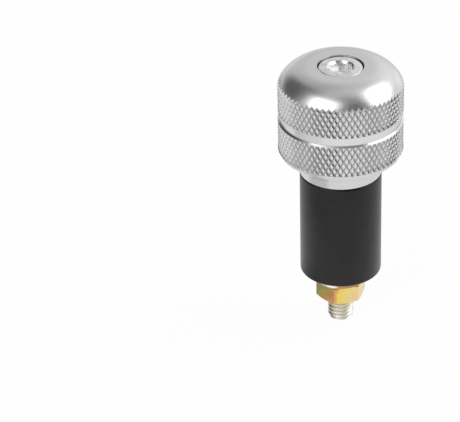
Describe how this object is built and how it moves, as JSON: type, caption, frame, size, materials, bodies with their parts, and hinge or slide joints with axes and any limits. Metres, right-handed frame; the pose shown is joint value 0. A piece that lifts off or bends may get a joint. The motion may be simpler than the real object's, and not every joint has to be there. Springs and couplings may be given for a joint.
{
  "type": "bar end weight",
  "caption": "Domed aluminium handlebar end weight with diamond-knurled bands, clamped in the bar by a rubber sleeve that a socket screw and nut squeeze.",
  "frame": {"origin": "on the axis, in the plane of the head's underside, where the end of the bar bears", "axes": "+Z along the screw out of the bar, towards the dome; the hexes have no aligned flats"},
  "size_m": [0.028, 0.028, 0.0652],
  "materials": {
    "satin_aluminium": "satin anodised",
    "turned_aluminium": "fine turned",
    "black_rubber": "moulded, semi-matt",
    "yellow_zinc": "yellow passivated zinc",
    "bright_zinc": "bright zinc"
  },
  "bodies": {
    "weight": {"head": "satin_aluminium", "collar": "turned_aluminium", "rubber_sleeve": "black_rubber"},
    "screw": {"cap_screw": "bright_zinc"},
    "nut": {"washer": "yellow_zinc", "hex_nut": "yellow_zinc"}
  },
  "joints": [
    {"name": "screw_turn", "type": "hinge", "parent": "weight", "child": "screw", "pos_m": [0, 0, 0], "axis": [0, 0, -1], "range_deg": [0, 1080]},
    {"name": "nut_travel", "type": "slide", "parent": "weight", "child": "nut", "axis": [0, 0, 1], "range_m": [0, 0.003], "deforming": ["rubber_sleeve"]}
  ],
  "couplings": [
    {"joint": "nut_travel", "follows": "screw_turn", "m_per_rad": 0.00015915}
  ]
}
